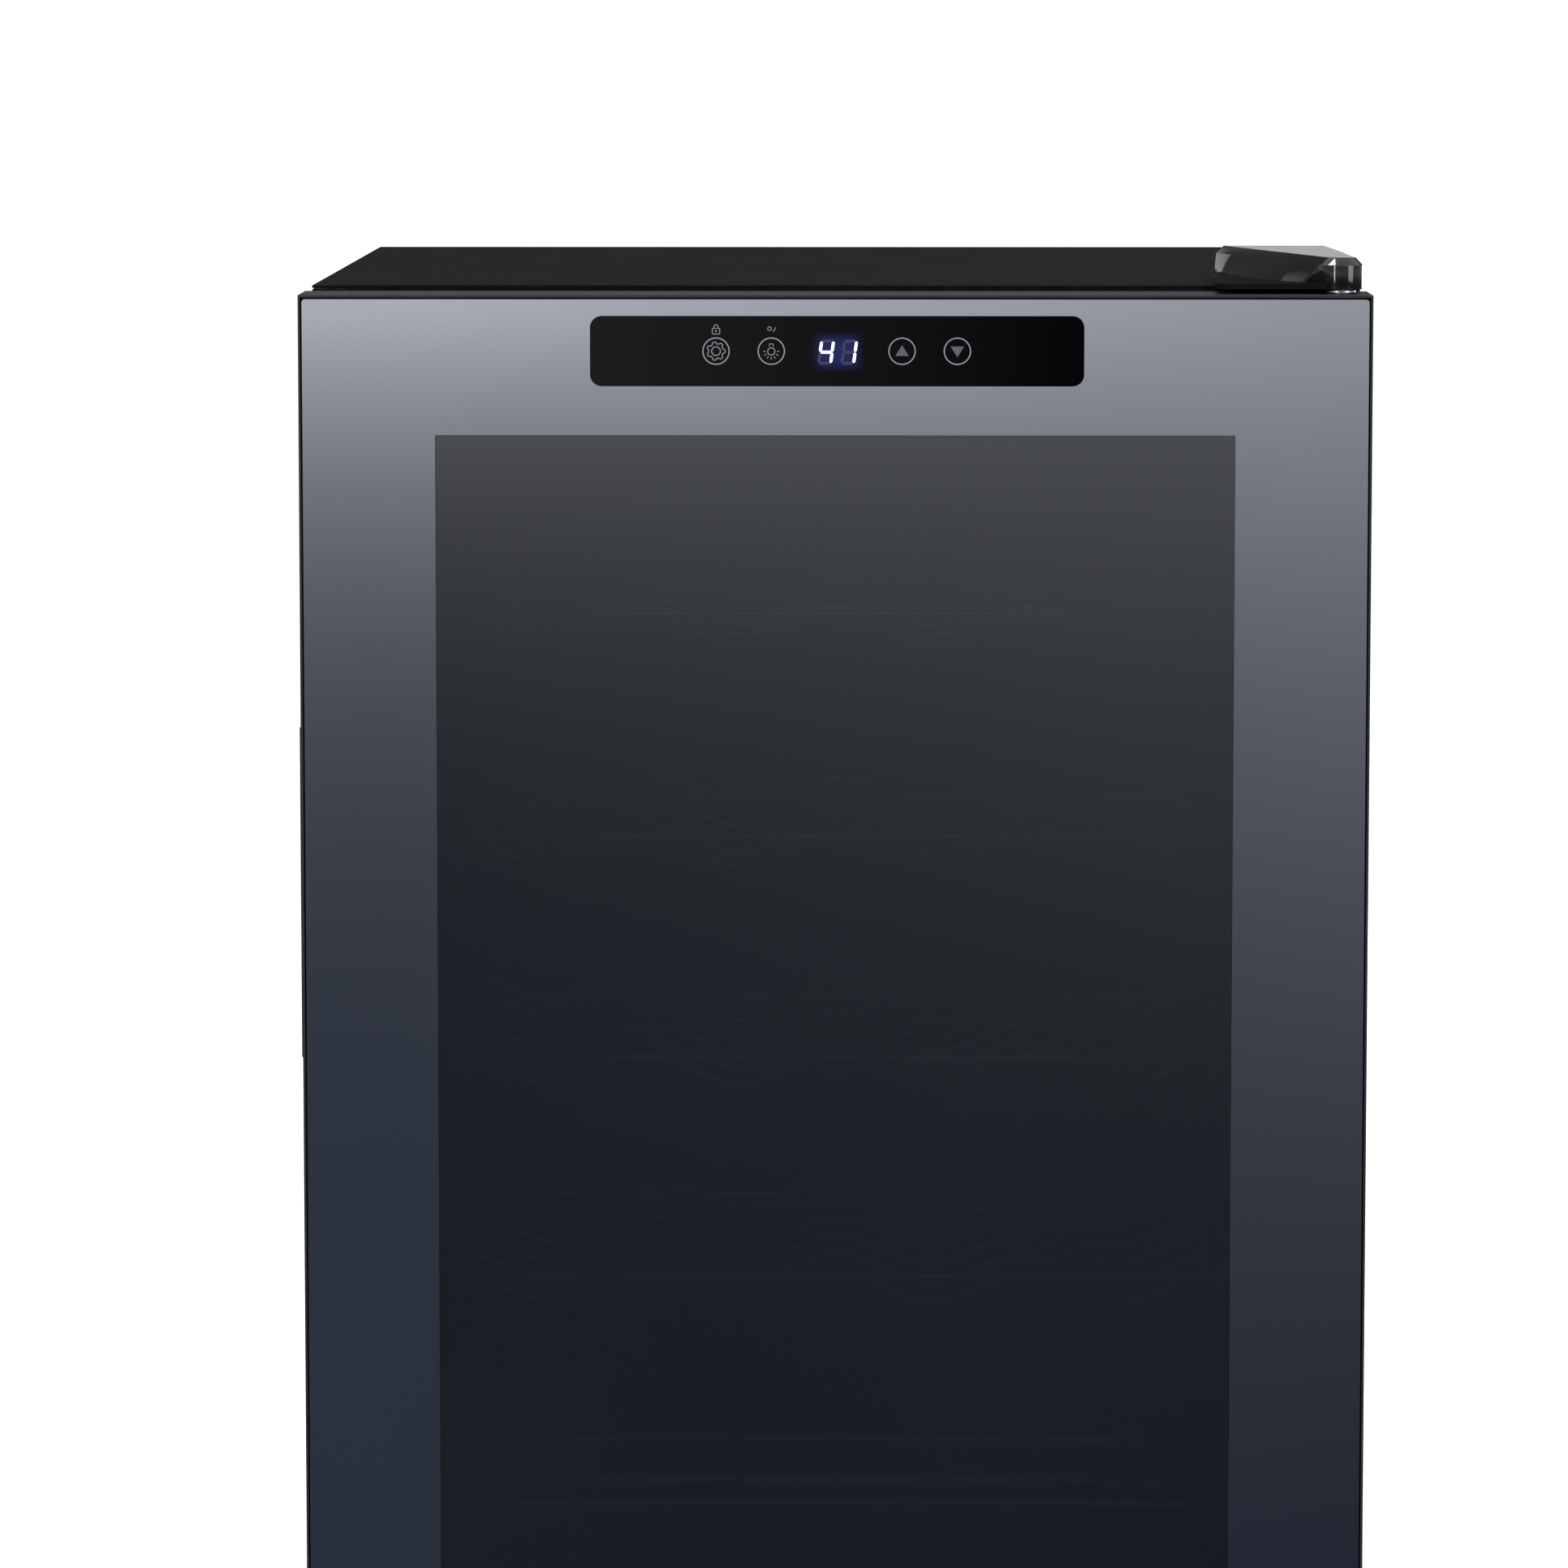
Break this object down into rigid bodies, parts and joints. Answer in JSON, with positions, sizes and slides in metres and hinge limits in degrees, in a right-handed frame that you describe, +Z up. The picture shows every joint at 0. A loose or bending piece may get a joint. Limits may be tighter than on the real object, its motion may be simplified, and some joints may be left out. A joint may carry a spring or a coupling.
{
  "type": "wine cooler",
  "caption": "Free-standing wine cooler with a mirrored, tinted-glass door hinged on the right, wire bottle shelves, touch control field and compressor base.",
  "frame": {"origin": "on the floor under the middle of the overall box", "axes": "+X to the right seen from the front, +Y to the rear, +Z up"},
  "size_m": [0.431, 0.48, 0.645],
  "materials": {
    "black_paint": "matte",
    "black_plastic": "satin",
    "gloss_black": "gloss",
    "mirror_glass": "polished",
    "clear_glass": "polished",
    "liner": "satin",
    "foam": "matte",
    "galvanised": "satin",
    "chrome": "polished",
    "steel": "satin",
    "aluminium": "satin",
    "copper": "satin",
    "rubber": "matte",
    "board": "satin",
    "lens": "satin",
    "grey_plastic": "satin"
  },
  "bodies": {
    "cabinet": {"top_panel": "black_paint", "left_side_panel": "black_paint", "right_side_panel": "black_paint", "back_panel": "black_paint", "base_plate": "galvanised", "front_rail": "black_paint", "inner_liner": "liner", "insulation_foam": "foam", "bay_plate": "galvanised", "back_air_panel": "liner", "evaporator_plate": "aluminium", "fan_frame": "black_plastic", "fan_motor": "grey_plastic", "air_panel_screw_1": "steel", "air_panel_screw_2": "steel", "step_screw_1": "steel", "step_screw_2": "steel", "led_strip": "lens", "led_lens": "lens", "temperature_sensor": "grey_plastic", "compressor": "black_paint", "terminal_cover": "black_plastic", "evaporation_tray": "grey_plastic", "filter_drier": "copper", "suction_tube": "copper", "control_box": "black_plastic", "condenser_coil": "black_paint", "rear_cover": "black_paint", "cord_gland": "black_plastic", "top_hinge_plate": "black_paint", "top_hinge_cover": "gloss_black", "top_hinge_pin": "steel", "hinge_washer": "steel", "top_hinge_screw_1": "steel", "top_hinge_screw_2": "steel", "bottom_hinge_bracket": "steel", "bottom_hinge_pin": "steel", "bottom_hinge_screw_1": "steel", "bottom_hinge_screw_2": "steel", "rear_foot_left": "black_plastic", "rear_foot_right": "black_plastic"},
    "door": {"outer_glass": "mirror_glass", "door_frame": "black_plastic", "door_inner_frame": "black_plastic", "spacer_bar": "aluminium", "inner_glass": "clear_glass", "gasket": "rubber", "display_housing": "black_plastic", "display_board": "board", "handle": "black_plastic", "top_bushing": "grey_plastic", "bottom_bushing": "grey_plastic"},
    "shelf_1": {"shelf_1": "chrome"},
    "shelf_2": {"shelf_2": "chrome"},
    "shelf_3": {"shelf_3": "chrome"},
    "shelf_4": {"shelf_4": "chrome"},
    "shelf_5": {"shelf_5": "chrome"},
    "fan": {"fan_rotor": "black_plastic"},
    "foot_left": {"front_foot_left": "black_plastic"},
    "foot_right": {"front_foot_right": "black_plastic"}
  },
  "joints": [
    {"name": "door_hinge", "type": "hinge", "parent": "cabinet", "child": "door", "pos_m": [0.203, -0.22, 0.326], "axis": [0, 0, 1], "range_deg": [0, 125]},
    {"name": "shelf_1_slide", "type": "slide", "parent": "cabinet", "child": "shelf_1", "axis": [0, -1, 0], "range_m": [0, 0.088]},
    {"name": "shelf_2_slide", "type": "slide", "parent": "cabinet", "child": "shelf_2", "axis": [0, -1, 0], "range_m": [0, 0.088]},
    {"name": "shelf_3_slide", "type": "slide", "parent": "cabinet", "child": "shelf_3", "axis": [0, -1, 0], "range_m": [0, 0.088]},
    {"name": "shelf_4_slide", "type": "slide", "parent": "cabinet", "child": "shelf_4", "axis": [0, -1, 0], "range_m": [0, 0.088]},
    {"name": "shelf_5_slide", "type": "slide", "parent": "cabinet", "child": "shelf_5", "axis": [0, -1, 0], "range_m": [0, 0.088]},
    {"name": "fan_spin", "type": "hinge", "parent": "cabinet", "child": "fan", "pos_m": [0, 0.18, 0.433], "axis": [0, 1, 0], "continuous": true},
    {"name": "foot_left_screw", "type": "slide", "parent": "cabinet", "child": "foot_left", "axis": [0, 0, -1], "range_m": [0, 0.012]},
    {"name": "foot_right_screw", "type": "slide", "parent": "cabinet", "child": "foot_right", "axis": [0, 0, -1], "range_m": [0, 0.012]}
  ],
  "couplings": [
    {"joint": "shelf_1_slide", "follows": "door_hinge", "m_per_rad": 0.04},
    {"joint": "shelf_2_slide", "follows": "door_hinge", "m_per_rad": 0.04},
    {"joint": "shelf_3_slide", "follows": "door_hinge", "m_per_rad": 0.04},
    {"joint": "shelf_4_slide", "follows": "door_hinge", "m_per_rad": 0.04},
    {"joint": "shelf_5_slide", "follows": "door_hinge", "m_per_rad": 0.04}
  ]
}
